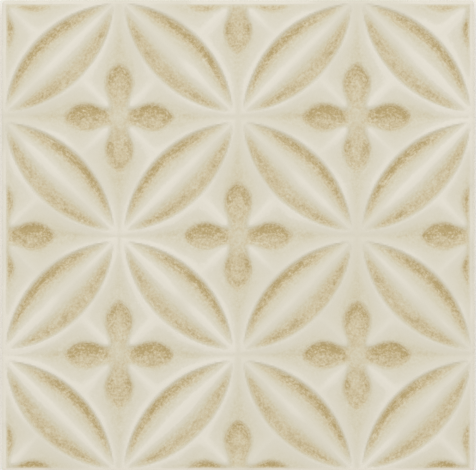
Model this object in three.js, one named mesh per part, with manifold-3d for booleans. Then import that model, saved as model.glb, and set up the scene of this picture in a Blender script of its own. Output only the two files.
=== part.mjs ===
// Relief glazed wall tile: one square piece of pressed and glazed earthenware, lying face up.
// The face carries a traditional pattern of overlapping circles. Neighbouring circles share leaf-shaped
// petals with a spine and a groove along each rim, and each circle holds a sunk four-armed flower
// between four diagonal ridges. The back has the shallow square keys that hold the adhesive.
// Millimetres, +Z up. The origin is the middle of the back, and the tile's edges run along X and Y.

import * as THREE from "three";
import { mergeVertices } from "three/addons/utils/BufferGeometryUtils.js";
import Module from "manifold-3d";

// Body
const tileSide = 148; // a 150 mm module, less its joint
const crestHeight = 9; // from the back to the highest points of the relief
const arrisRadius = 1.2; // rounding of the face's edge, in section and at the corners in plan
const backChamfer = 0.5;

// Overlapping circles
const circlePitch = 37.2; // from a circle's centre to the nodes, the points where four circles meet
const rimInset = 1.5; // the raised rims lie this far inside the geometric circles
const rimRadius = circlePitch - rimInset;

// Petals, between two rims
const grooveDepth = 1.15; // below the rims, at the petal's widest place
const grooveShare = 0.8; // from the spine to the groove, as a share of the petal's half width
const spineSharpness = 0.6; // 0 gives a rounded spine, 1 a sharp crease

// Ground inside each circle
const groundSlope = 0.19; // fall away from the rims and the diagonal ridges

// Flower, sunk in the middle of each circle. Its outline is at half the height of its walls.
const budCentre = 10.5; // from the circle's centre
const budHalfLength = 6.2;
const budHalfWidth = 3.85;
const stemHalfWidth = 2.4;
const crotchBlend = 1.9; // rounding where the arms meet
const budDepth = 1.4; // below the crest, at the buds
const hubDepth = 0.9; // below the crest, where the stems cross
const wallRun = 1.8; // width of the sloping walls, seen from above

// Keys in the back
const keysPerSide = 4;
const keyRib = 5; // width of the ribs between the keys
const keyMargin = 7; // width of the plain border round the keys
const keyDepth = 0.8;
const keyDraft = 0.8; // how much each key's side leans in over its depth

// Fineness of the facets
const rimSteps = 9; // along half a petal
const rimCrowding = 1.4; // above 1, the steps are closer together at the petal's middle
const stemSteps = 4; // from the circle's centre to the bud's centre
const arrisSteps = 2;
const cornerSteps = 4;
const pointGap = 0.001; // points of the face closer than this are one

const clamp01 = (value) => Math.min(1, Math.max(0, value));
const smooth = (value) => clamp01(value) ** 2 * (3 - 2 * clamp01(value));
const mix = (from, to, share) => from + (to - from) * share;
const mixPoint = (from, to, share) => [mix(from[0], to[0], share), mix(from[1], to[1], share)];

// Rounded minimum of two distances, used to flow one outline into the next.
function blendedMin(a, b, width) {
  const share = clamp01(0.5 + (b - a) / (2 * width));
  return mix(b, a, share) - width * share * (1 - share);
}

// The pattern's smallest repeat is a triangle, with a circle's centre at the origin, a node at
// (circlePitch, 0) and a petal's middle at half the pitch along the diagonal. This moves any point
// of the tile to its place (u, v) in the repeat.
function foldIntoRepeat(x, y) {
  const period = 2 * circlePitch;
  const fold = (value) => Math.abs(value - period * Math.round(value / period));
  let [u, v] = [fold(x), fold(y)];
  if (u + v > circlePitch) {
    [u, v] = [circlePitch - u, circlePitch - v];
  }
  return u >= v ? [u, v] : [v, u];
}

const spineDistance = (u, v) => (circlePitch - u - v) * Math.SQRT1_2;
const rimDistance = (u, v) => Math.hypot(circlePitch - u, circlePitch - v) - rimRadius;

// Height within a petal, below the crest. The section runs from the spine down to the groove and
// up the steeper wall to the rim, and it gets shallower towards the petal's tips.
function petalHeight(toSpine, toRim) {
  const halfWidth = toSpine + toRim;
  const widest = rimRadius - circlePitch * Math.SQRT1_2;
  const depth = grooveDepth * (1 - (1 - Math.min(1, halfWidth / widest)) ** 2);
  const across = toSpine / halfWidth;
  if (across < grooveShare) {
    const run = across / grooveShare;
    return -depth * (spineSharpness * run * (1 - run) ** 2 + smooth(run));
  }
  return -depth * (1 - smooth((across - grooveShare) / (1 - grooveShare)));
}

// Distance outside the arm of the flower that lies along u, a pointed bud on a stem. It is negative
// inside the arm.
function armDistance(u, v) {
  const radius = (budHalfLength ** 2 + budHalfWidth ** 2) / (2 * budHalfWidth);
  const bud = Math.hypot(u - budCentre, v + radius - budHalfWidth) - radius;
  const stem = Math.hypot(Math.max(0, u - budCentre), v) - stemHalfWidth;
  return blendedMin(bud, stem, crotchBlend);
}

const flowerDistance = (u, v) => blendedMin(armDistance(u, v), armDistance(v, u), crotchBlend);

// Height inside a circle, below the crest. The ground falls from the rim and from the diagonal
// ridge to a valley on the axis, and the flower is sunk in it.
function groundHeight(u, v) {
  const toRim = Math.max(0, rimDistance(u, v));
  const toRidge = (u - v) * Math.SQRT1_2;
  const fall = (toRim * toRidge) / (toRim + toRidge || 1);
  const floor = -mix(hubDepth, budDepth, smooth(Math.hypot(u, v) / budCentre));
  return mix(floor, -groundSlope * fall, smooth(0.5 + flowerDistance(u, v) / wallRun));
}

// Height of the face at a point of the tile.
function faceHeight(x, y) {
  const [u, v] = foldIntoRepeat(x, y);
  const intoPetal = -rimDistance(u, v);
  const relief = intoPetal > 0 ? petalHeight(spineDistance(u, v), intoPetal) : groundHeight(u, v);
  return crestHeight + relief;
}

// The point between two others where the flower's wall reaches a distance outside its outline.
function wallPoint(inner, outer, distance) {
  let [near, far] = [0, 1];
  for (let halving = 0; halving < 30; halving += 1) {
    const middle = (near + far) / 2;
    if (flowerDistance(...mixPoint(inner, outer, middle)) < distance) {
      near = middle;
    } else {
      far = middle;
    }
  }
  return mixPoint(inner, outer, near);
}

// Lines of points over the smallest repeat. Each starts on the axis of the flower's arm and runs
// over the wall's foot and top to the rim, and on through the groove to the petal's spine. The last
// one runs along the arm's axis to the node.
function repeatLines() {
  const groundLine = (start, end) => [
    start,
    wallPoint(start, end, -wallRun / 2),
    wallPoint(start, end, wallRun / 2),
    end,
  ];
  const tipAngle = Math.acos((circlePitch * Math.SQRT1_2) / rimRadius);
  const lines = [];
  for (let step = 0; step <= rimSteps; step += 1) {
    const angle = 1.25 * Math.PI + tipAngle * (step / rimSteps) ** rimCrowding;
    const rim = [circlePitch + rimRadius * Math.cos(angle), circlePitch + rimRadius * Math.sin(angle)];
    const spine = rim.map((value) => value + spineDistance(...rim) * Math.SQRT1_2);
    const start = [budCentre * Math.min(1, step / stemSteps), 0];
    const petalPoints = [grooveShare, grooveShare / 2, 0].map((share) => mixPoint(spine, rim, share));
    lines.push([...groundLine(start, rim), ...petalPoints]);
  }
  lines.push(groundLine([budCentre, 0], [circlePitch, 0]));
  return lines;
}

// Triangles between the lines of the smallest repeat.
function repeatTriangles() {
  const lines = repeatLines();
  const triangles = [];
  for (let place = 1; place < lines.length; place += 1) {
    const [near, far] = [lines[place - 1], lines[place]];
    for (let step = 1; step < far.length; step += 1) {
      triangles.push([near[step - 1], near[step], far[step - 1]]);
      triangles.push([far[step - 1], near[step], far[step]]);
    }
  }
  return triangles;
}

// Every copy of the repeat that reaches the tile, mirrored to fill each square between a circle's
// centre and the next.
function patternTriangles(halfSide) {
  const mirrors = [
    ([u, v]) => [u, v],
    ([u, v]) => [v, u],
    ([u, v]) => [circlePitch - u, circlePitch - v],
    ([u, v]) => [circlePitch - v, circlePitch - u],
  ];
  const repeat = repeatTriangles();
  const square = mirrors.flatMap((mirror) => repeat.map((triangle) => triangle.map(mirror)));
  const reach = Math.ceil(halfSide / circlePitch);
  const triangles = [];
  for (let row = -reach; row < reach; row += 1) {
    for (let column = -reach; column < reach; column += 1) {
      const reversed = (row + column) % 2 !== 0;
      const place = ([u, v]) => [
        column * circlePitch + (reversed ? circlePitch - u : u),
        row * circlePitch + v,
      ];
      triangles.push(...square.map((triangle) => triangle.map(place)));
    }
  }
  return triangles;
}

// The part of a polygon on the near side of a straight line, which lies at a distance from the
// origin in the direction (dx, dy).
function clipPolygon(polygon, [dx, dy], distance) {
  const beyond = ([x, y]) => x * dx + y * dy - distance;
  return polygon.flatMap((point, place) => {
    const next = polygon[(place + 1) % polygon.length];
    const [here, there] = [beyond(point), beyond(next)];
    const kept = here <= 0 ? [point] : [];
    return here * there < 0 ? [...kept, mixPoint(point, next, here / (here - there))] : kept;
  });
}

// Ways outwards from the tile's four edges, counter-clockwise from above.
const edgeDirections = [[0, -1], [1, 0], [0, 1], [-1, 0]];

// A mesh in the making: the coordinates of its points and its triangles' point numbers.
class MeshDraft {
  positions = [];
  triangles = [];

  addPoint(x, y, z) {
    return this.positions.push(x, y, z) / 3 - 1;
  }

  point(number) {
    return this.positions.slice(3 * number, 3 * number + 3);
  }

  // Fills the strip between two closed rings of as many points, the second below the first.
  joinRings(upper, lower) {
    upper.forEach((point, place) => {
      const next = (place + 1) % upper.length;
      if (upper[next] !== point) {
        this.triangles.push(point, lower[place], upper[next]);
      }
      this.triangles.push(upper[next], lower[place], lower[next]);
    });
  }
}

// Adds the face to the mesh, cut to a square, and returns the numbers of its points.
function addFace(mesh, halfSide) {
  const toBorder = (value) => (Math.abs(value) > halfSide - pointGap ? Math.sign(value) * halfSide : value);
  const numbers = new Map();
  // Points of mirrored copies that should be equal can differ by rounding, and lie in cells side by side
  const numberNear = (column, row) => {
    const cells = [-1, 0, 1].flatMap((right) => [-1, 0, 1].map((up) => `${column + right},${row + up}`));
    return numbers.get(cells.find((cell) => numbers.has(cell)));
  };
  const facePoint = (point) => {
    const [x, y] = point.map(toBorder);
    const [column, row] = [x, y].map((value) => Math.round(value / pointGap));
    const near = numberNear(column, row);
    if (near !== undefined) {
      return near;
    }
    const number = mesh.addPoint(x, y, faceHeight(x, y));
    numbers.set(`${column},${row}`, number);
    return number;
  };
  const turnsLeft = (polygon) => THREE.ShapeUtils.area(polygon.map(([x, y]) => ({ x, y }))) > 0;

  for (const triangle of patternTriangles(halfSide)) {
    const upright = turnsLeft(triangle) ? triangle : triangle.toReversed();
    const clipped = edgeDirections.reduce(
      (polygon, direction) => clipPolygon(polygon, direction, halfSide),
      upright,
    );
    const corners = clipped
      .map(facePoint)
      .filter((corner, place, all) => corner !== all[(place + 1) % all.length]);
    for (let place = 2; place < corners.length; place += 1) {
      mesh.triangles.push(corners[0], corners[place - 1], corners[place]);
    }
  }
  return [...numbers.values()];
}

// Points on the face's border, counter-clockwise from above, each with the angle of its way
// outwards. A corner is there several times, with its way turning through the quarter circle.
function faceBorder(mesh, facePoints, halfSide) {
  return edgeDirections.flatMap(([dx, dy], edge) => {
    const turn = (edge - 1) * (Math.PI / 2);
    const outwards = (number) => mesh.point(number)[0] * dx + mesh.point(number)[1] * dy;
    const along = (number) => mesh.point(number)[1] * dx - mesh.point(number)[0] * dy;
    const onEdge = facePoints
      .filter((number) => outwards(number) === halfSide)
      .sort((first, second) => along(first) - along(second));
    const cornerAngles = Array.from(
      { length: cornerSteps + 1 },
      (_, step) => turn + (step / cornerSteps) * (Math.PI / 2),
    );
    return [
      ...onEdge.slice(1, -1).map((number) => ({ number, angle: turn })),
      ...cornerAngles.map((angle) => ({ number: onEdge.at(-1), angle })),
    ];
  });
}

// Closed body: the face, the rounded arris, the straight edges and the flat back.
function bodyGeometry() {
  const halfFace = tileSide / 2 - arrisRadius;
  const mesh = new MeshDraft();
  const border = faceBorder(mesh, addFace(mesh, halfFace), halfFace);
  const addRing = (outwards, heightBelow) => border.map(({ number, angle }) => {
    const [x, y, z] = mesh.point(number);
    return mesh.addPoint(x + outwards * Math.cos(angle), y + outwards * Math.sin(angle), heightBelow(z));
  });

  const rings = [border.map(({ number }) => number)];
  for (let step = 1; step <= arrisSteps; step += 1) {
    const angle = (step / arrisSteps) * (Math.PI / 2);
    const drop = arrisRadius * (1 - Math.cos(angle));
    rings.push(addRing(arrisRadius * Math.sin(angle), (z) => z - drop));
  }
  rings.push(addRing(arrisRadius, () => backChamfer));
  rings.push(addRing(arrisRadius - backChamfer, () => 0));
  for (let place = 1; place < rings.length; place += 1) {
    mesh.joinRings(rings[place - 1], rings[place]);
  }

  const backRing = rings.at(-1);
  const outline = backRing.map((number) => new THREE.Vector2(...mesh.point(number)));
  for (const [a, b, c] of THREE.ShapeUtils.triangulateShape(outline, [])) {
    mesh.triangles.push(backRing[a], backRing[c], backRing[b]);
  }

  const geometry = new THREE.BufferGeometry();
  geometry.setAttribute("position", new THREE.Float32BufferAttribute(mesh.positions, 3));
  geometry.setIndex(mesh.triangles);
  return geometry;
}

// One key: a square hollow that narrows upwards, reaching a little below the back to cut it open.
function keyGeometry(keySide) {
  const below = 1;
  const lean = keyDraft / keyDepth;
  const halfDiagonal = (side) => side * Math.SQRT1_2;
  const key = new THREE.CylinderGeometry(
    halfDiagonal(keySide - 2 * keyDraft),
    halfDiagonal(keySide + 2 * below * lean),
    keyDepth + below,
    4,
  );
  key.rotateX(Math.PI / 2);
  key.rotateZ(Math.PI / 4);
  key.translate(0, 0, (keyDepth - below) / 2);
  return key;
}

const wasm = await Module();
wasm.setup();

function toSolid(geometry) {
  const bare = geometry.clone();
  bare.deleteAttribute("normal");
  bare.deleteAttribute("uv");
  const merged = mergeVertices(bare);
  return new wasm.Manifold(new wasm.Mesh({
    numProp: 3,
    vertProperties: new Float32Array(merged.attributes.position.array),
    triVerts: new Uint32Array(merged.index.array),
  }));
}

function toGeometry(solid) {
  const mesh = solid.getMesh();
  const geometry = new THREE.BufferGeometry();
  geometry.setAttribute("position", new THREE.BufferAttribute(mesh.vertProperties, 3));
  geometry.setIndex(new THREE.BufferAttribute(mesh.triVerts, 1));
  geometry.computeVertexNormals();
  return geometry;
}

// The body with its keys cut into the back.
function tileSolid() {
  const keyPitch = (tileSide - 2 * keyMargin + keyRib) / keysPerSide;
  const key = keyGeometry(keyPitch - keyRib);
  const firstKey = (-(keysPerSide - 1) / 2) * keyPitch;
  let solid = toSolid(bodyGeometry());
  for (let row = 0; row < keysPerSide; row += 1) {
    for (let column = 0; column < keysPerSide; column += 1) {
      const placed = key.clone().translate(firstKey + column * keyPitch, firstKey + row * keyPitch, 0);
      solid = solid.subtract(toSolid(placed));
    }
  }
  return solid;
}

const glazedEarthenware = new THREE.MeshStandardMaterial({ color: 0xddd6c4, roughness: 0.3, metalness: 0 });
const reliefTile = new THREE.Mesh(toGeometry(tileSolid()), glazedEarthenware);
reliefTile.name = "relief_tile";

const tile = new THREE.Group();
tile.add(reliefTile);

export default tile;
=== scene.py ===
"""Relief glazed wall tile: one square piece of pressed earthenware under a satin crackle glaze.

The tile lies face up. Its face carries overlapping circles that share leaf-shaped petals, and a
four-armed flower is sunk in each circle. The glaze is cream where it lies thin and tan where it
pools. Lengths in the classes are millimetres unless a comment says metres, and Blender's are metres.
"""

import logging
import math
from collections.abc import Mapping
from dataclasses import asdict, dataclass, field
from enum import Enum

import bpy
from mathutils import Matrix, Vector


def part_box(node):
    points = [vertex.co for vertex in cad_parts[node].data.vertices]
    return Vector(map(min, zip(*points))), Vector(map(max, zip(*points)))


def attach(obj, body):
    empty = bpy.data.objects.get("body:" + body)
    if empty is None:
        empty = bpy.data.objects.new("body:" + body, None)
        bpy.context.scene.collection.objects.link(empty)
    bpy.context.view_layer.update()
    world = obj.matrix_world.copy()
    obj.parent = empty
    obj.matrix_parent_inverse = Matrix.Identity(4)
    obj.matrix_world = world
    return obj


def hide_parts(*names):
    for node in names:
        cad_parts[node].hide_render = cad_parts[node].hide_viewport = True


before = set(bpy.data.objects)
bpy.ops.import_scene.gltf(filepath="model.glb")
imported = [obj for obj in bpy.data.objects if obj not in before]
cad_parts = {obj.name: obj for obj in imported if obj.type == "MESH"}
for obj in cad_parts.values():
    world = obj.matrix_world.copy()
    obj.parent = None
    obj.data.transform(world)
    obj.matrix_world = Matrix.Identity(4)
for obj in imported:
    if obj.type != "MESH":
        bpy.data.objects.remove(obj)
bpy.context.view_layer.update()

logging.basicConfig(level=logging.INFO, format="%(levelname)s %(message)s")
log = logging.getLogger("relief_tile")

MM = 0.001  # metres in a millimetre
SEED = 11  # of every noise that moves points
QUARTER_TURN = math.pi / 2
SLANT = math.sqrt(0.5)  # each part of a unit step along a diagonal
NEAR_BLUR = 3  # rounds of averaging that give the face's height at a point and close by
WIDE_BLUR = 9  # and a little further round it
CUT_BELOW = 1.0  # mm that the key cutters reach below the back
ROUGH_NOISE = (0.25, 0.75)  # nearly all values of a rough noise lie between these
SMOOTH_NOISE = (0.3, 0.7)  # and those of a smooth one between these
COLUMN_WIDTH, ROW_HEIGHT, ROWS = 200, 60, 20  # how the node editor shows a tree, in its own units

Socket = bpy.types.NodeSocket
Source = Socket | bpy.types.ID | float | int | bool | str | tuple


class Surface(Enum):
    """The two surfaces that a fired tile shows. The glazed one's name marks its faces."""

    GLAZED = "glazed"
    BARE = "bare"


def linear(colour: str) -> tuple[float, float, float, float]:
    """Turn an sRGB colour into the linear one that a shader takes, by the sRGB standard's curve.

    Args:
        colour: Hex code, such as "#F2EDE0".

    Returns:
        Red, green, blue and an alpha of 1.
    """
    shares = [int(colour[place : place + 2], 16) / 255 for place in (1, 3, 5)]
    red, green, blue = (s / 12.92 if s <= 0.04045 else ((s + 0.055) / 1.055) ** 2.4 for s in shares)
    return red, green, blue, 1.0


def add_node(
    tree: bpy.types.NodeTree,
    kind: str,
    inputs: tuple | Mapping[str, Source] = (),
    output: int | str = 0,
    **settings: object,
) -> Socket | None:
    """Add a node to a tree, with its settings and whatever feeds its inputs.

    Args:
        tree: Tree that takes the node.
        kind: Blender's name for the type of node.
        inputs: A socket to link or a value to set for each input in use, in order or by name.
        output: Place or name of the output that is wanted, among those in use.
        **settings: Values for the node's own attributes.

    Returns:
        The wanted output, or None where the node has none.
    """
    node = tree.nodes.new(kind)
    for name, value in settings.items():
        setattr(node, name, value)
    sockets = [socket for socket in node.inputs if socket.enabled]
    if isinstance(inputs, Mapping):
        by_name = {socket.name: socket for socket in sockets}
        pairs = [(by_name[name], source) for name, source in inputs.items()]
    else:
        pairs = list(zip(sockets, inputs))
    column = 0
    for socket, source in pairs:
        if isinstance(source, Socket):
            tree.links.new(source, socket)
            column = max(column, source.node.location.x)
        else:
            socket.default_value = source
    node.location = (column + COLUMN_WIDTH, -ROW_HEIGHT * (len(tree.nodes) % ROWS))
    outputs = [socket for socket in node.outputs if socket.enabled]
    if isinstance(output, str):
        return next(socket for socket in outputs if socket.name == output)
    return outputs[output] if outputs else None


def per_metre(feature: float) -> float:
    """Scale of a texture on Object coordinates whose features are so many millimetres across."""
    return 1 / (feature * MM)


def new_material(name: str) -> bpy.types.Material:
    """Make a node material with nothing in it.

    Args:
        name: Its name.

    Returns:
        The material.
    """
    material = bpy.data.materials.new(name)
    material.use_nodes = True
    material.node_tree.nodes.clear()
    return material


@dataclass(frozen=True)
class CrackleGlaze:
    """Satin earthenware glaze, sprayed on and fired until it crazes.

    It breaks to cream on the high parts, and its colour gathers with the glaze in the low ones, where
    the fine crackle holds a darker stain. The eye sees soft, waxy cream with grainy tan pools.
    """

    thin: str = "#EDE9DE"
    cream: str = "#E5E1D3"
    pale_tan: str = "#DED8C1"
    tan: str = "#DACDAC"
    deep_tan: str = "#C2AC76"
    cream_from: float = 0.04  # amount of pooled glaze that shows as cream, where 1 is the deepest pool
    pale_tan_from: float = 0.31
    tan_from: float = 0.54
    crackle: float = 0.8  # mm across one cell; the real one is finer, and wouldn't show
    crackle_line: float = 0.16  # from a crack's middle to where it fades out, as a share of a cell
    grain: float = 0.75  # mm across the mottling
    tide_reach: float = 4.0  # mm along one tide line, left where the pool's edge stood as it dried
    tides: float = 10.0  # changes of tone from the crest to the deepest pool
    cloud: float = 24.0  # mm across the slow changes in tone
    mottle_gain: float = 0.62  # how far each of these moves the amount of glaze, as a share of it
    tide_gain: float = 0.24
    crackle_gain: float = 0.1
    cloud_gain: float = 0.045  # and how far the clouds move it everywhere
    shade_gain: float = 0.17  # how much darker more glaze gets, beside its change of tint
    roughness: float = 0.46
    pool_roughness: float = 0.36
    ior: float = 1.5
    relief: float = 0.05  # mm of bump in the pools

    def material(self) -> bpy.types.Material:
        """Build the glaze.

        Returns:
            Its material, which reads the amount of pooled glaze, with painted shade, from the mesh.
        """
        material = new_material("crazed_satin_glaze")
        tree = material.node_tree
        place = add_node(tree, "ShaderNodeTexCoord", output="Object")
        # The amount of pooled glaze, with painted shade under and on the walls.
        pool_and_shade = add_node(tree, "ShaderNodeAttribute", attribute_name="glaze_pool_and_shade", output="Fac")
        grain = add_node(
            tree, "ShaderNodeTexNoise",
            {"Vector": place, "Scale": per_metre(self.grain), "Detail": 5.0, "Roughness": 0.72},
        )
        colour = self.colour(tree, place, pool_and_shade, self.stain(tree, place, pool_and_shade, grain))
        roughness = add_node(
            tree, "ShaderNodeMapRange", (pool_and_shade, 0.0, 1.0, self.roughness, self.pool_roughness)
        )
        swelling = add_node(tree, "ShaderNodeMath", (grain, pool_and_shade), operation="MULTIPLY")
        normal = add_node(
            tree, "ShaderNodeBump", {"Strength": 1.0, "Distance": self.relief * MM, "Height": swelling}
        )
        shader = add_node(
            tree, "ShaderNodeBsdfPrincipled",
            {"Base Color": colour, "Roughness": roughness, "IOR": self.ior, "Normal": normal},
        )
        add_node(tree, "ShaderNodeOutputMaterial", {"Surface": shader})
        return material

    def stain(self, tree: bpy.types.NodeTree, place: Socket, pool_and_shade: Socket, grain: Socket) -> Socket:
        """Mottling, tide lines and cracks of the pooled glaze.

        Args:
            tree: The material's tree.
            place: Object coordinates.
            pool_and_shade: Amount of pooled glaze, with painted shade.
            grain: Noise of the mottling.

        Returns:
            How much more or less glaze than the pool's own amount shows, as a share of it.
        """
        mottle = add_node(
            tree, "ShaderNodeMapRange", (grain, *ROUGH_NOISE, -self.mottle_gain, self.mottle_gain)
        )
        level = add_node(tree, "ShaderNodeMath", (pool_and_shade, self.tides), operation="MULTIPLY")
        level = add_node(tree, "ShaderNodeCombineXYZ", {"Z": level})
        spread = (per_metre(self.tide_reach),) * 3
        bank = add_node(tree, "ShaderNodeVectorMath", (place, spread, level), operation="MULTIPLY_ADD")
        tide = add_node(
            tree, "ShaderNodeTexNoise", {"Vector": bank, "Scale": 1.0, "Detail": 3.0, "Roughness": 0.6}
        )
        tide = add_node(
            tree, "ShaderNodeMapRange", (tide, *SMOOTH_NOISE, -self.tide_gain, self.tide_gain)
        )
        crack = add_node(
            tree, "ShaderNodeTexVoronoi", {"Vector": place, "Scale": per_metre(self.crackle)},
            feature="DISTANCE_TO_EDGE",
        )
        crack = add_node(tree, "ShaderNodeMapRange", (crack, 0.0, self.crackle_line, 1.0, 0.0))
        stain = add_node(
            tree, "ShaderNodeMath", (crack, self.crackle_gain, mottle), operation="MULTIPLY_ADD"
        )
        return add_node(tree, "ShaderNodeMath", (stain, tide), operation="ADD")

    def colour(self, tree: bpy.types.NodeTree, place: Socket, pool_and_shade: Socket, stain: Socket) -> Socket:
        """Colour of the glaze, from cream where it is thin to tan where it pools and where shade is
        painted.

        Args:
            tree: The material's tree.
            place: Object coordinates.
            pool_and_shade: Amount of pooled glaze, with painted shade.
            stain: How much more or less of it shows, as a share.

        Returns:
            The colour.
        """
        stained_pool_and_shade = add_node(tree, "ShaderNodeMath", (pool_and_shade, stain, pool_and_shade), operation="MULTIPLY_ADD")
        cloud = add_node(
            tree, "ShaderNodeTexNoise", {"Vector": place, "Scale": per_metre(self.cloud), "Detail": 2.0}
        )
        drift = add_node(
            tree, "ShaderNodeMapRange", (cloud, *SMOOTH_NOISE, -self.cloud_gain, self.cloud_gain)
        )
        tone = add_node(tree, "ShaderNodeMath", (stained_pool_and_shade, drift), operation="ADD", use_clamp=True)
        tint = add_node(tree, "ShaderNodeValToRGB", (tone,), output="Color")
        stops = [
            (0.0, self.thin),
            (self.cream_from, self.cream),
            (self.pale_tan_from, self.pale_tan),
            (self.tan_from, self.tan),
            (1.0, self.deep_tan),
        ]
        elements = tint.node.color_ramp.elements
        while len(elements) < len(stops):
            elements.new(0.5)
        for element, (position, code) in zip(elements, stops):
            element.position = position
            element.color = linear(code)
        shade = add_node(tree, "ShaderNodeMath", (stain, -self.shade_gain), operation="MULTIPLY")
        shade = add_node(tree, "ShaderNodeMath", (shade, pool_and_shade, 1.0), operation="MULTIPLY_ADD")
        return add_node(tree, "ShaderNodeHueSaturation", {"Color": tint, "Value": shade})


@dataclass(frozen=True)
class PressedBiscuit:
    """Pale earthenware body, pressed from damp dust and fired without glaze.

    It is dry and matt, with a fine sandy grain and faint buff clouds.
    """

    body: str = "#E9DFCC"
    buff: str = "#D9C8AC"
    speck: str = "#B79F7C"
    grain: float = 0.5  # mm across the sandy grain
    cloud: float = 18.0  # mm across the buff clouds
    cloud_from: float = 0.35  # value of the clouds' noise at which one begins
    cloud_full: float = 0.7  # and at which it is full
    cloud_gain: float = 0.8
    speck_spacing: float = 2.4  # mm between the dark specks
    speck_core: float = 0.06  # radius of a speck's dark middle, as a share of the spacing
    speck_edge: float = 0.14  # and of its faint edge
    speck_gain: float = 0.7
    roughness: float = 0.85
    ior: float = 1.45
    relief: float = 0.08  # mm of bump

    def material(self) -> bpy.types.Material:
        """Build the bare body.

        Returns:
            Its material.
        """
        material = new_material("dust_pressed_biscuit")
        tree = material.node_tree
        place = add_node(tree, "ShaderNodeTexCoord", output="Object")
        cloud = add_node(
            tree, "ShaderNodeTexNoise", {"Vector": place, "Scale": per_metre(self.cloud), "Detail": 4.0}
        )
        grain = add_node(
            tree, "ShaderNodeTexNoise",
            {"Vector": place, "Scale": per_metre(self.grain), "Detail": 3.0, "Roughness": 0.7},
        )
        speck = add_node(
            tree, "ShaderNodeTexVoronoi", {"Vector": place, "Scale": per_metre(self.speck_spacing)}
        )
        specks = add_node(
            tree, "ShaderNodeMapRange", (speck, self.speck_core, self.speck_edge, self.speck_gain, 0.0)
        )
        clouds = add_node(
            tree, "ShaderNodeMapRange", (cloud, self.cloud_from, self.cloud_full, 0.0, self.cloud_gain)
        )
        ground = add_node(
            tree, "ShaderNodeMix", (clouds, linear(self.body), linear(self.buff)), data_type="RGBA"
        )
        colour = add_node(
            tree, "ShaderNodeMix", (specks, ground, linear(self.speck)), data_type="RGBA"
        )
        normal = add_node(
            tree, "ShaderNodeBump", {"Strength": 0.7, "Distance": self.relief * MM, "Height": grain}
        )
        shader = add_node(
            tree, "ShaderNodeBsdfPrincipled",
            {"Base Color": colour, "Roughness": self.roughness, "IOR": self.ior, "Normal": normal},
        )
        add_node(tree, "ShaderNodeOutputMaterial", {"Surface": shader})
        return material


@dataclass(frozen=True)
class Pattern:
    """Sizes of the relief, in millimetres, and its shares. Each one is an input of the node tree."""

    circle_pitch: float = 37.2  # from a circle's centre to the nodes where four circles meet
    rim_inset: float = 1.5  # the raised rims lie this far inside the geometric circles
    groove_depth: float = 1.15
    groove_share: float = 0.8  # from the spine to the groove, as a share of the half width
    spine_sharpness: float = 0.6  # 0 leaves the spine round, and more makes its flanks meet steeper
    ground_slope: float = 0.19  # fall of the ground for each mm away from rim and ridge
    bud_centre: float = 10.5  # from the circle's centre
    bud_half_length: float = 6.2
    bud_half_width: float = 3.85
    stem_half_width: float = 2.4
    crotch_blend: float = 2.85  # reach of the rounding where the flower's arms meet
    bud_depth: float = 1.4
    hub_depth: float = 0.9
    wall_run: float = 1.8  # width of the flower's sloping walls, seen from above
    warp: float = 0.3  # how far the moulded lines wander
    warp_reach: float = 14.0  # distance over which they wander
    key_rib: float = 5.0  # width between the keys in the back
    key_margin: float = 7.0  # from the tile's edge to the outer keys
    key_depth: float = 0.8
    key_draft: float = 0.8  # how far a key's wall leans in over its depth
    keys_per_side: int = 4
    lip_wave: float = 0.7  # rise and fall of the line where the glaze ends on the edges
    lip_reach: float = 9.0  # distance along an edge over which that line wanders
    gather_reach: float = 4.3  # painted shade goes where the face this far up the tile, towards the light, is higher
    gather_from: float = 0.4  # by more than this
    depth_tint: float = 0.38  # amount of glaze for each mm below the crest, where 1 is the deepest pool
    gather_tint: float = 0.5  # and painted shade for each mm by which the face further up is higher, past that start
    hollow_tint: float = 0.9  # and for each mm that a point lies lower than the points round it
    corner_tint: float = 1.0  # and painted shade for the last two multiplied, which is much in a corner
    steep_tint: float = 0.35  # and on a wall, from none on a level face to all on an upright one: partly the glaze's tan, partly painted shade
    full_depth: float = 0.5  # depth from which a place keeps all of its glaze
    bare_border: float = 0.8  # width over which the pools fade out at the face's border


@dataclass(frozen=True)
class Ring:
    """One closed line of points round the tile.

    Attributes:
        outset: Distance outwards from the face's border, in mm.
        height: Height above the back, in mm.
        follows: Share of the face's relief that it follows.
        above: Surface of the strip between it and the ring above.
        on_lip: Whether the glaze ends at it.
    """

    outset: float
    height: float
    follows: float
    above: Surface
    on_lip: bool = False


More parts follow.
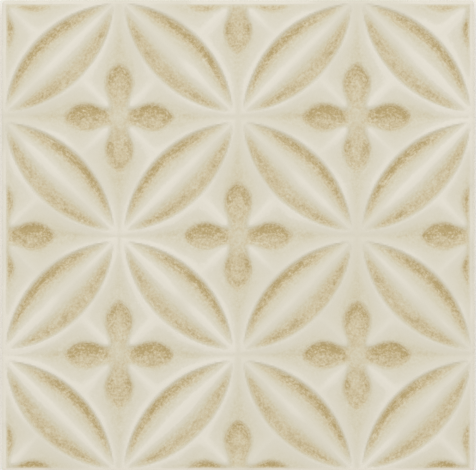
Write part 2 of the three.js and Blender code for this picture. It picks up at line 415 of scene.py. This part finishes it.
@dataclass
class ReliefTile:
    """The tile: its blank, the relief pressed into it, its keys and its glaze. Sizes in millimetres."""

    node: str = "relief_tile"
    arris_radius: float = 1.2
    back_chamfer: float = 0.5
    glaze_line: float = 3.2  # height where the glaze ends on the edges
    glaze_thickness: float = 0.15
    edge_follows: float = 0.4  # share of the face's relief that the middle of a glazed edge follows
    cells_per_pitch: int = 72  # an even number, so that triangle edges lie on spines and ridges
    arris_steps: int = 4
    corner_steps: int = 4
    smooth_below: float = math.radians(38)  # angle between faces that still shade as one surface
    pattern: Pattern = field(default_factory=Pattern)
    glaze: CrackleGlaze = field(default_factory=CrackleGlaze)
    biscuit: PressedBiscuit = field(default_factory=PressedBiscuit)

    def __post_init__(self) -> None:
        """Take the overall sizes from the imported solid."""
        _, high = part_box(self.node)
        self.half_side = high.x / MM
        self.crest_height = high.z / MM
        self.half_face = self.half_side - self.arris_radius

    def face_steps(self) -> list[float]:
        """Lay the face's grid lines out along an edge.

        Returns:
            Their places from the middle, on whole cells but for the two on the border.
        """
        cell = self.pattern.circle_pitch / self.cells_per_pitch
        reach = int(self.half_face / cell)
        reach -= reach % 2
        inner = [step * cell for step in range(-reach, reach + 1)]
        return [-self.half_face, *inner, self.half_face]

    def face_triangles(self, count: int) -> list[tuple[int, int, int]]:
        """Split the face's cells so that their diagonals run along the pattern's own.

        Args:
            count: Number of grid lines each way.

        Returns:
            Point numbers of each triangle, counter-clockwise from above.
        """
        triangles = []
        for row in range(count - 1):
            for column in range(count - 1):
                near, right = row * count + column, row * count + column + 1
                left, far = near + count, right + count
                if (row + column) % 2 == 0:
                    triangles += [(near, right, far), (near, far, left)]
                else:
                    triangles += [(near, right, left), (right, far, left)]
        return triangles

    def border(self, count: int) -> list[tuple[int, float]]:
        """Walk round the face's border, counter-clockwise from above.

        Args:
            count: Number of grid lines each way.

        Returns:
            Each point's number and the angle of its way outwards. A corner comes several times, with
            its angle turning through the quarter circle.
        """
        last = count - 1
        edges = [
            list(range(count)),
            [row * count + last for row in range(count)],
            [last * count + column for column in reversed(range(count))],
            [row * count for row in reversed(range(count))],
        ]
        walk = []
        for edge, numbers in enumerate(edges):
            angle = (edge - 1) * QUARTER_TURN
            walk += [(number, angle) for number in numbers[1:-1]]
            for step in range(self.corner_steps + 1):
                walk.append((numbers[-1], angle + step / self.corner_steps * QUARTER_TURN))
        return walk

    def rings(self) -> list[Ring]:
        """Lay out the tile's sides.

        Returns:
            Rings of the arris, the edge, the glaze's lip and the chamfered foot, from the top down.
        """
        rings = []
        for step in range(1, self.arris_steps + 1):
            angle = step / self.arris_steps * QUARTER_TURN
            drop = self.arris_radius * (1 - math.cos(angle))
            outset = self.arris_radius * math.sin(angle)
            rings.append(Ring(outset, self.crest_height - drop, 1.0, Surface.GLAZED))
        side, bare_side = self.arris_radius, self.arris_radius - self.glaze_thickness
        shoulder = self.crest_height - self.arris_radius
        rings.append(Ring(side, (shoulder + self.glaze_line) / 2, self.edge_follows, Surface.GLAZED))
        rings.append(Ring(side, self.glaze_line, 0.0, Surface.GLAZED, on_lip=True))
        lip_foot = self.glaze_line - self.glaze_thickness
        rings.append(Ring(bare_side, lip_foot, 0.0, Surface.GLAZED, on_lip=True))
        rings.append(Ring(bare_side, self.back_chamfer, 0.0, Surface.BARE))
        rings.append(Ring(side - self.back_chamfer, 0.0, 0.0, Surface.BARE))
        return rings

    def blank(self) -> bpy.types.Mesh:
        """Build the tile before the relief is pressed and the keys are cut.

        Returns:
            A closed mesh. Its points know how much of the relief they follow and whether they lie on
            the glaze's lip, and its faces know whether they are glazed.
        """
        steps = self.face_steps()
        count = len(steps)
        points = [(x, y, self.crest_height) for y in steps for x in steps]
        follows = [1.0] * len(points)
        on_lip = [0.0] * len(points)
        faces: list[tuple[int, ...]] = list(self.face_triangles(count))
        glazed = [True] * len(faces)

        border = self.border(count)
        upper = [number for number, _ in border]
        for ring in self.rings():
            lower = list(range(len(points), len(points) + len(border)))
            for number, angle in border:
                x, y, _ = points[number]
                outwards = (ring.outset * math.cos(angle), ring.outset * math.sin(angle))
                points.append((x + outwards[0], y + outwards[1], ring.height))
            follows += [ring.follows] * len(border)
            on_lip += [float(ring.on_lip)] * len(border)
            before = len(faces)
            for place in range(len(border)):
                after = (place + 1) % len(border)
                if upper[place] != upper[after]:
                    faces.append((upper[place], lower[place], upper[after]))
                faces.append((upper[after], lower[place], lower[after]))
            glazed += [ring.above is Surface.GLAZED] * (len(faces) - before)
            upper = lower
        faces.append(tuple(reversed(upper)))
        glazed.append(False)

        mesh = bpy.data.meshes.new(self.node + "_blank")
        mesh.from_pydata([Vector(point) * MM for point in points], [], faces)
        mesh.attributes.new("follows_relief", "FLOAT", "POINT").data.foreach_set("value", follows)
        mesh.attributes.new("on_lip", "FLOAT", "POINT").data.foreach_set("value", on_lip)
        mesh.attributes.new(Surface.GLAZED.value, "BOOLEAN", "FACE").data.foreach_set("value", glazed)
        return mesh

    def build(self) -> bpy.types.Object:
        """Press, cut and dress the tile, and give it to its CAD body.

        Returns:
            The finished piece.
        """
        piece = bpy.data.objects.new("relief_tile_glazed", self.blank())
        bpy.context.scene.collection.objects.link(piece)
        press = PressTree(self)
        modifier = piece.modifiers.new("press", "NODES")
        modifier.node_group = press.tree
        for identifier, value in press.values.items():
            modifier[identifier] = value
        evaluated = piece.evaluated_get(bpy.context.evaluated_depsgraph_get())
        mesh = bpy.data.meshes.new_from_object(evaluated)
        piece.modifiers.remove(modifier)
        piece.data = mesh
        mesh.name = piece.name
        mesh.shade_smooth()
        mesh.set_sharp_from_angle(angle=self.smooth_below)
        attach(piece, "root")
        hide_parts(self.node)
        return piece


class PressTree:
    """Geometry Nodes that press the relief into the blank, let the glaze pool and cut the keys.

    The tree works in millimetres, and each size of the pattern is one of its inputs.
    """

    def __init__(self, tile: ReliefTile) -> None:
        """Build the whole tree.

        Args:
            tile: The tile whose sizes and finishes the tree takes.
        """
        self.tree = bpy.data.node_groups.new("pressed_relief", "GeometryNodeTree")
        self.values: dict[str, object] = {}
        self.names: dict[str, str] = {}
        self.declare("blank", "NodeSocketGeometry")
        self.tree.interface.new_socket("Tile", in_out="OUTPUT", socket_type="NodeSocketGeometry")
        body = {"half_side": tile.half_side, "half_face": tile.half_face}
        for name, size in (body | asdict(tile.pattern)).items():
            kind = "NodeSocketInt" if isinstance(size, int) else "NodeSocketFloat"
            self.declare(name, kind, size)
        self.declare("glaze", "NodeSocketMaterial", tile.glaze.material())
        self.declare("biscuit", "NodeSocketMaterial", tile.biscuit.material())
        self.group = self.tree.nodes.new("NodeGroupInput")

        relief = self.relief(self.face_place())
        pressed = self.press(self["blank"], relief)
        self.finish(self.cut_keys(self.pool_glaze(pressed)))

    def declare(self, name: str, kind: str, value: object = None) -> None:
        """Declare one named input of the tree.

        Args:
            name: Its name in the code, which Blender shows in words.
            kind: Blender's name for the type of socket.
            value: What the modifier gives it, where it gives anything.
        """
        words = name.replace("_", " ").capitalize()
        socket = self.tree.interface.new_socket(words, in_out="INPUT", socket_type=kind)
        self.names[name] = words
        if value is not None:
            self.values[socket.identifier] = value

    def __getitem__(self, name: str) -> Socket:
        """The tree's input of that name."""
        return self.group.outputs[self.names[name]]

    def face_place(self, ahead: float | Socket = 0.0) -> Socket:
        """Where a point of the blank reads the relief.

        Args:
            ahead: How far ahead of the point it reads, along Y, in mm.

        Returns:
            Its place in mm, drawn in to the face's border, so that the arris and the edges follow the
            relief of the border, and shifted a little, as moulded lines wander.
        """
        tree = self.tree
        here = add_node(tree, "GeometryNodeInputPosition")
        place = add_node(tree, "ShaderNodeVectorMath", (here, (1 / MM, 1 / MM, 0.0)), operation="MULTIPLY")
        step = add_node(tree, "ShaderNodeCombineXYZ", {"Y": ahead})
        place = add_node(tree, "ShaderNodeVectorMath", (place, step), operation="ADD")
        limit = self["half_face"]
        least = add_node(tree, "ShaderNodeMath", (limit, -1.0), operation="MULTIPLY")
        place = add_node(tree, "ShaderNodeVectorMath", (place, limit), operation="MINIMUM")
        place = add_node(tree, "ShaderNodeVectorMath", (place, least), operation="MAXIMUM")
        scale = add_node(tree, "ShaderNodeMath", (1.0, self["warp_reach"]), operation="DIVIDE")
        noise = add_node(
            tree, "ShaderNodeTexNoise", {"Vector": place, "W": float(SEED), "Scale": scale, "Detail": 1.0},
            "Color", noise_dimensions="4D",
        )
        drift = add_node(tree, "ShaderNodeVectorMath", (noise, (0.5, 0.5, 0.5)), operation="SUBTRACT")
        drift = add_node(tree, "ShaderNodeVectorMath", (drift, (1.0, 1.0, 0.0)), operation="MULTIPLY")
        return add_node(
            tree, "ShaderNodeVectorMath", (drift, self["warp"], place), operation="MULTIPLY_ADD"
        )

    def relief(self, place: Socket) -> Socket:
        """Height of the face below its crest.

        The pattern's smallest repeat is a triangle, with a circle's centre at its origin, a node one
        pitch along its first axis and a petal's middle half a pitch along its diagonal.

        Args:
            place: Place on the tile, in mm.

        Returns:
            The relief there, in mm and never above 0.
        """
        tree, pitch = self.tree, self["circle_pitch"]
        back = add_node(tree, "ShaderNodeMath", (pitch, -1.0), operation="MULTIPLY")
        folded = add_node(tree, "ShaderNodeVectorMath", (place, pitch, back), operation="WRAP")
        folded = add_node(tree, "ShaderNodeVectorMath", (folded,), operation="ABSOLUTE")
        diagonal, crosswise, inwards = (SLANT, SLANT, 0.0), (SLANT, -SLANT, 0.0), (-SLANT, -SLANT, 0.0)
        along = add_node(tree, "ShaderNodeVectorMath", (folded, diagonal), operation="DOT_PRODUCT")
        across = add_node(tree, "ShaderNodeVectorMath", (folded, crosswise), operation="DOT_PRODUCT")
        past = add_node(tree, "ShaderNodeMath", (pitch, -SLANT, along), operation="MULTIPLY_ADD")
        to_spine = add_node(tree, "ShaderNodeMath", (past,), operation="ABSOLUTE")
        to_ridge = add_node(tree, "ShaderNodeMath", (across,), operation="ABSOLUTE")

        middle = add_node(tree, "ShaderNodeVectorMath", (pitch, (0.5, 0.5, 0.0)), operation="MULTIPLY")
        point = add_node(
            tree, "ShaderNodeVectorMath", (to_spine, inwards, middle), operation="MULTIPLY_ADD"
        )
        point = add_node(
            tree, "ShaderNodeVectorMath", (to_ridge, crosswise, point), operation="MULTIPLY_ADD"
        )
        next_centre = add_node(tree, "ShaderNodeVectorMath", (pitch, (1.0, 1.0, 0.0)), operation="MULTIPLY")
        reach = add_node(tree, "ShaderNodeVectorMath", (point, next_centre), operation="DISTANCE")
        rim = add_node(tree, "ShaderNodeMath", (pitch, self["rim_inset"]), operation="SUBTRACT")
        into_petal = add_node(tree, "ShaderNodeMath", (rim, reach), operation="SUBTRACT")

        petal = self.petal(to_spine, into_petal, rim)
        ground = self.ground(point, to_ridge, into_petal)
        in_petal = add_node(tree, "ShaderNodeMath", (into_petal, 0.0), operation="GREATER_THAN")
        return add_node(tree, "ShaderNodeMix", (in_petal, ground, petal), data_type="FLOAT")

    def petal(self, to_spine: Socket, to_rim: Socket, rim: Socket) -> Socket:
        """Relief within a petal: down from the spine to the groove, and steeply up to the rim.

        Args:
            to_spine: Distance from the petal's spine, in mm.
            to_rim: Distance in from its rim.
            rim: Radius of the rim.

        Returns:
            The height below the crest, which gets shallower towards the petal's tips.
        """
        tree = self.tree
        half_width = add_node(tree, "ShaderNodeMath", (to_spine, to_rim), operation="ADD")
        widest = add_node(
            tree, "ShaderNodeMath", (self["circle_pitch"], -SLANT, rim), operation="MULTIPLY_ADD"
        )
        fullness = add_node(
            tree, "ShaderNodeMath", (half_width, widest), operation="DIVIDE", use_clamp=True
        )
        lack = add_node(tree, "ShaderNodeMath", (1.0, fullness), operation="SUBTRACT")
        lack = add_node(tree, "ShaderNodeMath", (lack, lack), operation="MULTIPLY")
        fullness = add_node(tree, "ShaderNodeMath", (1.0, lack), operation="SUBTRACT")
        depth = add_node(tree, "ShaderNodeMath", (self["groove_depth"], fullness), operation="MULTIPLY")

        share = add_node(tree, "ShaderNodeMath", (to_spine, half_width), operation="DIVIDE")
        groove = self["groove_share"]
        run = add_node(tree, "ShaderNodeMapRange", (share, 0.0, groove, 0.0, 1.0))
        flank = add_node(
            tree, "ShaderNodeMapRange", (share, 0.0, groove, 0.0, -1.0), interpolation_type="SMOOTHSTEP"
        )
        left = add_node(tree, "ShaderNodeMath", (1.0, run), operation="SUBTRACT")
        crease = add_node(tree, "ShaderNodeMath", (left, left), operation="MULTIPLY")
        crease = add_node(tree, "ShaderNodeMath", (crease, run), operation="MULTIPLY")
        crease = add_node(tree, "ShaderNodeMath", (crease, self["spine_sharpness"]), operation="MULTIPLY")
        flank = add_node(tree, "ShaderNodeMath", (flank, crease), operation="SUBTRACT")
        wall = add_node(
            tree, "ShaderNodeMapRange", (share, groove, 1.0, 0.0, 1.0), interpolation_type="SMOOTHSTEP"
        )
        section = add_node(tree, "ShaderNodeMath", (flank, wall), operation="ADD")
        return add_node(tree, "ShaderNodeMath", (depth, section), operation="MULTIPLY")

    def flower(self, point: Socket) -> Socket:
        """Distance outside the outline of the flower, whose arms are pointed buds on stems.

        Args:
            point: Place in the pattern's repeat, in mm.

        Returns:
            The distance in mm, which is negative inside the flower.
        """
        tree = self.tree
        # A bud's sides are two arcs, so its half length and half width give their radius.
        length, width = self["bud_half_length"], self["bud_half_width"]
        square = add_node(tree, "ShaderNodeMath", (length, length), operation="MULTIPLY")
        square = add_node(tree, "ShaderNodeMath", (width, width, square), operation="MULTIPLY_ADD")
        radius = add_node(tree, "ShaderNodeMath", (square, width), operation="DIVIDE")
        radius = add_node(tree, "ShaderNodeMath", (radius, 0.5), operation="MULTIPLY")
        aside = add_node(tree, "ShaderNodeMath", (width, radius), operation="SUBTRACT")
        centre = self["bud_centre"]
        arms = []
        for arc_place, stem_place in [((centre, aside), (centre, 0.0)), ((aside, centre), (0.0, centre))]:
            arc_centre = add_node(tree, "ShaderNodeCombineXYZ", arc_place)
            stem_end = add_node(tree, "ShaderNodeCombineXYZ", stem_place)
            on_stem = add_node(tree, "ShaderNodeVectorMath", (point, stem_end), operation="MINIMUM")
            bud = add_node(tree, "ShaderNodeVectorMath", (point, arc_centre), operation="DISTANCE")
            bud = add_node(tree, "ShaderNodeMath", (bud, radius), operation="SUBTRACT")
            stem = add_node(tree, "ShaderNodeVectorMath", (point, on_stem), operation="DISTANCE")
            stem = add_node(tree, "ShaderNodeMath", (stem, self["stem_half_width"]), operation="SUBTRACT")
            arms.append(
                add_node(tree, "ShaderNodeMath", (bud, stem, self["crotch_blend"]), operation="SMOOTH_MIN")
            )
        return add_node(tree, "ShaderNodeMath", (*arms, self["crotch_blend"]), operation="SMOOTH_MIN")

    def ground(self, point: Socket, to_ridge: Socket, into_petal: Socket) -> Socket:
        """Relief inside a circle: ground that falls from rim and ridge, with the flower sunk in it.

        Args:
            point: Place in the pattern's repeat, in mm.
            to_ridge: Distance from the diagonal ridge.
            into_petal: Distance in from the petal's rim, negative on the ground.

        Returns:
            The height below the crest.
        """
        tree = self.tree
        outside = add_node(tree, "ShaderNodeMath", (into_petal, -1.0), operation="MULTIPLY")
        to_rim = add_node(tree, "ShaderNodeMath", (outside, 0.0), operation="MAXIMUM")
        product = add_node(tree, "ShaderNodeMath", (to_rim, to_ridge), operation="MULTIPLY")
        total = add_node(tree, "ShaderNodeMath", (to_rim, to_ridge), operation="ADD")
        fall = add_node(tree, "ShaderNodeMath", (product, total), operation="DIVIDE")
        slope = add_node(tree, "ShaderNodeMath", (self["ground_slope"], -1.0), operation="MULTIPLY")
        plain = add_node(tree, "ShaderNodeMath", (fall, slope), operation="MULTIPLY")

        from_hub = add_node(tree, "ShaderNodeVectorMath", (point,), operation="LENGTH")
        depth = add_node(
            tree, "ShaderNodeMapRange",
            (from_hub, 0.0, self["bud_centre"], self["hub_depth"], self["bud_depth"]),
            interpolation_type="SMOOTHSTEP",
        )
        floor = add_node(tree, "ShaderNodeMath", (depth, -1.0), operation="MULTIPLY")
        foot = add_node(tree, "ShaderNodeMath", (self["wall_run"], -0.5), operation="MULTIPLY")
        top = add_node(tree, "ShaderNodeMath", (self["wall_run"], 0.5), operation="MULTIPLY")
        return add_node(
            tree, "ShaderNodeMapRange", (self.flower(point), foot, top, floor, plain),
            interpolation_type="SMOOTHSTEP",
        )

    def press(self, blank: Socket, relief: Socket) -> Socket:
        """Press the relief into the blank, and let the glaze's lip on the edges rise and fall.

        Args:
            blank: The blank's geometry.
            relief: The height below the crest, in mm.

        Returns:
            The pressed geometry.
        """
        tree = self.tree
        follows = add_node(tree, "GeometryNodeInputNamedAttribute", ("follows_relief",), data_type="FLOAT")
        on_lip = add_node(tree, "GeometryNodeInputNamedAttribute", ("on_lip",), data_type="FLOAT")
        here = add_node(tree, "GeometryNodeInputPosition")
        scale = add_node(tree, "ShaderNodeMath", (1 / MM, self["lip_reach"]), operation="DIVIDE")
        noise = add_node(
            tree, "ShaderNodeTexNoise", {"Vector": here, "W": float(SEED), "Scale": scale, "Detail": 1.0},
            "Fac", noise_dimensions="4D",
        )
        wave = add_node(tree, "ShaderNodeMath", (noise, 0.5), operation="SUBTRACT")
        wave = add_node(tree, "ShaderNodeMath", (wave, on_lip), operation="MULTIPLY")
        wave = add_node(tree, "ShaderNodeMath", (wave, self["lip_wave"]), operation="MULTIPLY")
        shift = add_node(tree, "ShaderNodeMath", (relief, follows, wave), operation="MULTIPLY_ADD")
        shift = add_node(tree, "ShaderNodeMath", (shift, MM), operation="MULTIPLY")
        offset = add_node(tree, "ShaderNodeCombineXYZ", {"Z": shift})
        bare = add_node(tree, "GeometryNodeSetMaterial", {"Geometry": blank, "Material": self["biscuit"]})
        return add_node(tree, "GeometryNodeSetPosition", {"Geometry": bare, "Offset": offset})

    def pool_glaze(self, pressed: Socket) -> Socket:
        """Store how much glaze has pooled at each point, with painted shade, for the glaze's material.

        Glaze runs off the crests and the border. It pools with depth and in hollows. On walls its tan is
        partly the glaze's own and partly painted shade, and below what climbs further up the tile, most of
        all in the corners of hollows, tan is painted shade where the light from the top leaves shade.

        Args:
            pressed: The pressed geometry.

        Returns:
            The same geometry, which now knows its pools.
        """
        tree = self.tree
        height = self.relief(self.face_place())
        near = add_node(tree, "GeometryNodeBlurAttribute", (height, NEAR_BLUR), data_type="FLOAT")
        wide = add_node(tree, "GeometryNodeBlurAttribute", (height, WIDE_BLUR), data_type="FLOAT")
        hollow = add_node(tree, "ShaderNodeMath", (wide, near), operation="SUBTRACT")
        hollow = add_node(tree, "ShaderNodeMath", (hollow, 0.0), operation="MAXIMUM")
        # Painted shade: tan under faces that climb further up the tile, where the light from the top leaves
        # shade.
        gathered = self.gathered(height)
        hold = add_node(
            tree, "ShaderNodeMath", (gathered, self["corner_tint"], self["hollow_tint"]),
            operation="MULTIPLY_ADD",
        )
        pool_and_shade = add_node(tree, "ShaderNodeMath", (hollow, hold), operation="MULTIPLY")
        pool_and_shade = add_node(
            tree, "ShaderNodeMath", (gathered, self["gather_tint"], pool_and_shade), operation="MULTIPLY_ADD"
        )
        per_height = add_node(tree, "ShaderNodeMath", (self["depth_tint"], -1.0), operation="MULTIPLY")
        pool_and_shade = add_node(tree, "ShaderNodeMath", (near, per_height, pool_and_shade), operation="MULTIPLY_ADD")
        # Tan on the walls, partly the glaze's own and partly painted shade.
        normal = add_node(tree, "GeometryNodeInputNormal")
        level = add_node(tree, "ShaderNodeSeparateXYZ", (normal,), "Z")
        steep = add_node(tree, "ShaderNodeMath", (1.0, level), operation="SUBTRACT")
        pool_and_shade = add_node(
            tree, "ShaderNodeMath", (steep, self["steep_tint"], pool_and_shade), operation="MULTIPLY_ADD"
        )
        sunk = add_node(tree, "ShaderNodeMath", (height, self["full_depth"]), operation="DIVIDE")
        sunk = add_node(tree, "ShaderNodeMath", (sunk, -1.0), operation="MULTIPLY", use_clamp=True)
        pool_and_shade = add_node(tree, "ShaderNodeMath", (pool_and_shade, sunk), operation="MULTIPLY")
        pool_and_shade = add_node(
            tree, "ShaderNodeMath", (pool_and_shade, self.inside_border()), operation="MULTIPLY", use_clamp=True
        )
        return add_node(
            tree, "GeometryNodeStoreNamedAttribute",
            {"Geometry": pressed, "Name": "glaze_pool_and_shade", "Value": pool_and_shade},
            data_type="FLOAT", domain="POINT",
        )

    def gathered(self, height: Socket) -> Socket:
        """Find where shade is painted: below a face that climbs a little further up the tile, towards the
        light.

        Args:
            height: The relief at a point, in mm.

        Returns:
            How much higher the face is further up, in mm, less the climb that gets no painted shade.
        """
        tree = self.tree
        ahead = self.relief(self.face_place(self["gather_reach"]))
        climb = add_node(tree, "ShaderNodeMath", (ahead, height), operation="SUBTRACT")
        climb = add_node(tree, "ShaderNodeMath", (climb, self["gather_from"]), operation="SUBTRACT")
        climb = add_node(tree, "ShaderNodeMath", (climb, 0.0), operation="MAXIMUM")
        return add_node(tree, "GeometryNodeBlurAttribute", (climb, NEAR_BLUR), data_type="FLOAT")

    def inside_border(self) -> Socket:
        """Fade the pools out towards the face's border.

        Returns:
            The share of them that is left at a point, from 0 on the border and outside it to 1.
        """
        tree = self.tree
        here = add_node(tree, "GeometryNodeInputPosition")
        place = add_node(tree, "ShaderNodeVectorMath", (here, 1 / MM), operation="SCALE")
        place = add_node(tree, "ShaderNodeVectorMath", (place,), operation="ABSOLUTE")
        across = add_node(tree, "ShaderNodeSeparateXYZ", (place,), "X")
        away = across.node.outputs["Y"]
        from_middle = add_node(tree, "ShaderNodeMath", (across, away), operation="MAXIMUM")
        border = self["half_face"]
        whole = add_node(tree, "ShaderNodeMath", (border, self["bare_border"]), operation="SUBTRACT")
        return add_node(
            tree, "ShaderNodeMapRange", (from_middle, border, whole, 0.0, 1.0),
            interpolation_type="SMOOTHSTEP",
        )

    def cut_keys(self, pressed: Socket) -> Socket:
        """Cut the square keys into the back, each of them narrowing upwards.

        Args:
            pressed: The pressed geometry.

        Returns:
            The geometry with its keys.
        """
        tree = self.tree
        count, rib = self["keys_per_side"], self["key_rib"]
        room = add_node(
            tree, "ShaderNodeMath", (self["half_side"], self["key_margin"]), operation="SUBTRACT"
        )
        room = add_node(tree, "ShaderNodeMath", (room, 2.0, rib), operation="MULTIPLY_ADD")
        pitch = add_node(tree, "ShaderNodeMath", (room, count), operation="DIVIDE")
        side = add_node(tree, "ShaderNodeMath", (pitch, rib), operation="SUBTRACT")
        draft, depth = self["key_draft"], self["key_depth"]
        top = add_node(tree, "ShaderNodeMath", (draft, -2.0, side), operation="MULTIPLY_ADD")
        lean = add_node(tree, "ShaderNodeMath", (draft, depth), operation="DIVIDE")
        foot = add_node(tree, "ShaderNodeMath", (lean, 2.0 * CUT_BELOW, side), operation="MULTIPLY_ADD")
        # The cutter is a cone of four sides. Its radius reaches a corner, and it is turned to lie square.
        top = add_node(tree, "ShaderNodeMath", (top, SLANT * MM), operation="MULTIPLY")
        foot = add_node(tree, "ShaderNodeMath", (foot, SLANT * MM), operation="MULTIPLY")
        height = add_node(tree, "ShaderNodeMath", (depth, CUT_BELOW), operation="ADD")
        height = add_node(tree, "ShaderNodeMath", (height, MM), operation="MULTIPLY")
        key = add_node(
            tree, "GeometryNodeMeshCone",
            {"Vertices": 4, "Radius Top": top, "Radius Bottom": foot, "Depth": height},
        )
        drop, turn = (0.0, 0.0, -CUT_BELOW * MM), (0.0, 0.0, QUARTER_TURN / 2)
        key = add_node(
            tree, "GeometryNodeTransform", {"Geometry": key, "Translation": drop, "Rotation": turn}
        )
        gaps = add_node(tree, "ShaderNodeMath", (count, 1.0), operation="SUBTRACT")
        span = add_node(tree, "ShaderNodeMath", (pitch, gaps), operation="MULTIPLY")
        span = add_node(tree, "ShaderNodeMath", (span, MM), operation="MULTIPLY")
        places = add_node(tree, "GeometryNodeMeshGrid", (span, span, count, count))
        keys = add_node(tree, "GeometryNodeInstanceOnPoints", {"Points": places, "Instance": key})
        keys = add_node(tree, "GeometryNodeRealizeInstances", {"Geometry": keys})
        keys = add_node(tree, "GeometryNodeSetMaterial", {"Geometry": keys, "Material": self["biscuit"]})
        return add_node(
            tree, "GeometryNodeMeshBoolean", (pressed, keys), solver="MANIFOLD", operation="DIFFERENCE"
        )

    def finish(self, keyed: Socket) -> None:
        """Glaze the marked faces and end the tree.

        Args:
            keyed: The geometry with its keys.
        """
        tree = self.tree
        glazed = add_node(
            tree, "GeometryNodeInputNamedAttribute", (Surface.GLAZED.value,), data_type="BOOLEAN"
        )
        tile = add_node(tree, "GeometryNodeRealizeInstances", {"Geometry": keyed})
        tile = add_node(
            tree, "GeometryNodeSetMaterial",
            {"Geometry": tile, "Selection": glazed, "Material": self["glaze"]},
        )
        add_node(tree, "NodeGroupOutput", (tile,))


@dataclass(frozen=True)
class Softbox:
    """A square studio light, in metres and watts, aimed at the tile."""

    name: str
    azimuth: float  # degrees from the photo's right, counter-clockwise from above
    elevation: float  # degrees above the floor
    distance: float
    side: float
    power: float
    colour: str

    def build(self) -> None:
        """Hang the light and aim it at the tile's middle."""
        light = bpy.data.lights.new(self.name, "AREA")
        light.size = self.side
        light.energy = self.power
        light.color = linear(self.colour)[:3]
        lamp = bpy.data.objects.new(self.name, light)
        turn, rise = math.radians(self.azimuth), math.radians(self.elevation)
        away = Vector((math.cos(turn) * math.cos(rise), math.sin(turn) * math.cos(rise), math.sin(rise)))
        lamp.location = away * self.distance
        lamp.rotation_mode = "QUATERNION"
        lamp.rotation_quaternion = away.to_track_quat("Z", "Y")
        bpy.context.scene.collection.objects.link(lamp)


@dataclass(frozen=True)
class Studio:
    """Pale floor, soft light and a camera straight above the tile.

    The photo is 476 pixels wide, and shows the pattern at 3.2 pixels to the millimetre.
    """

    image_width: float = 476.0  # px
    pixels_per_mm: float = 3.2
    camera_height: float = 0.55  # m above the crest
    sensor: float = 36.0  # mm
    shift_up: float = 0.4  # mm on the tile, from its middle to the middle of the image
    floor_half_side: float = 1.5  # m
    floor_colour: str = "#FAFAF7"
    sky_colour: str = "#FFFCF6"
    sky_strength: float = 0.755
    key: Softbox = Softbox(
        "key_softbox", azimuth=92, elevation=60, distance=1.3, side=1.6, power=4.6, colour="#F4F8FF"
    )

    def floor(self) -> None:
        """Lay the matt paper that the tile lies on."""
        half = self.floor_half_side
        corners = [(-half, -half, 0), (half, -half, 0), (half, half, 0), (-half, half, 0)]
        mesh = bpy.data.meshes.new("floor")
        mesh.from_pydata(corners, [], [(0, 1, 2, 3)])
        material = new_material("matt_backdrop_paper")
        shader = add_node(
            material.node_tree, "ShaderNodeBsdfPrincipled",
            {"Base Color": linear(self.floor_colour), "Roughness": 0.9, "Specular IOR Level": 0.2},
        )
        add_node(material.node_tree, "ShaderNodeOutputMaterial", {"Surface": shader})
        mesh.materials.append(material)
        floor = bpy.data.objects.new("floor", mesh)
        bpy.context.scene.collection.objects.link(floor)

    def sky(self) -> None:
        """Fill the shadows evenly from all round."""
        world = bpy.data.worlds.new("soft_surround")
        world.use_nodes = True
        world.node_tree.nodes.clear()
        glow = add_node(
            world.node_tree, "ShaderNodeBackground",
            {"Color": linear(self.sky_colour), "Strength": self.sky_strength},
        )
        add_node(world.node_tree, "ShaderNodeOutputWorld", {"Surface": glow})
        bpy.context.scene.world = world

    def camera(self, crest: float) -> None:
        """Hang the camera over the tile, with the photo's top towards +Y.

        Args:
            crest: Height of the tile's crest, in metres.
        """
        data = bpy.data.cameras.new("camera")
        data.sensor_width = self.sensor
        span = self.image_width / self.pixels_per_mm * MM
        data.lens = self.sensor * self.camera_height / span
        camera = bpy.data.objects.new("camera", data)
        camera.location = (0.0, self.shift_up * MM, crest + self.camera_height)
        bpy.context.scene.collection.objects.link(camera)
        bpy.context.scene.camera = camera

    def build(self, crest: float) -> None:
        """Set up the whole studio round the tile.

        Args:
            crest: Height of the tile's crest, in metres.
        """
        self.floor()
        self.sky()
        self.key.build()
        self.camera(crest)
        bpy.context.scene.view_settings.view_transform = "Standard"


def main() -> None:
    tile = ReliefTile()
    piece = tile.build()
    finishes = [material.name for material in piece.data.materials]
    log.info("%s: %d faces, %s", piece.name, len(piece.data.polygons), finishes)
    Studio().build(tile.crest_height * MM)
    log.info("studio: floor, soft surround, key softbox and camera")


if __name__ == "__main__":
    main()
